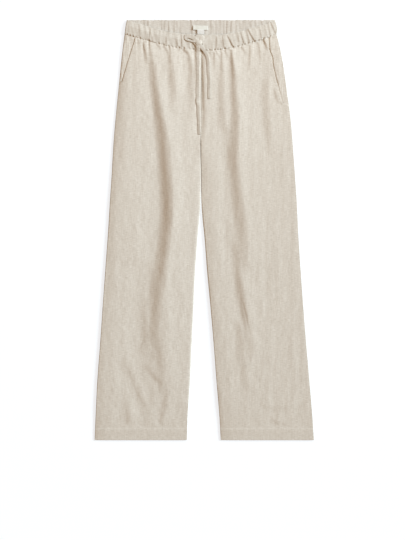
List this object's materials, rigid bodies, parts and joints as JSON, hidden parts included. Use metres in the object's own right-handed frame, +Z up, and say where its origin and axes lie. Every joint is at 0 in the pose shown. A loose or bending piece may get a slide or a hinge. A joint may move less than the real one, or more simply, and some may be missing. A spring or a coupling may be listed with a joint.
{
  "type": "linen drawstring trousers laid flat",
  "caption": "Wide straight-leg linen trousers laid flat, with a gathered elastic waistband, slant pockets and a flat drawstring tied in a bow at the centre front.",
  "frame": {"origin": "middle of the laid-out garment's footprint, on the surface that it lies on", "axes": "+Y along the legs from hem to waist, +X to the right of someone who looks down at the front with the waist at the top, +Z up out of the surface"},
  "size_m": [0.549, 1.05, 0.0155],
  "materials": {
    "linen": "plain-weave linen, natural beige, matte, right side",
    "linen_inside": "plain-weave linen, natural beige, matte, wrong side and back",
    "drawstring_linen": "folded linen tape, natural beige, matte",
    "label_satin": "off-white woven satin, soft sheen, bare",
    "label_cotton": "white cotton tape, matte, bare"
  },
  "bodies": {
    "root": {"front_left": "linen", "front_right": "linen", "back_left": "linen_inside", "back_right": "linen_inside", "waistband_front": "linen", "waistband_back": "linen_inside", "pocket_facing_left": "linen", "pocket_facing_right": "linen", "drawstring_tail_left": "drawstring_linen", "drawstring_tail_right": "drawstring_linen", "drawstring_loop_left": "drawstring_linen", "drawstring_loop_right": "drawstring_linen", "drawstring_knot": "drawstring_linen", "label_main": "label_satin", "label_size": "label_cotton"}
  },
  "joints": []
}
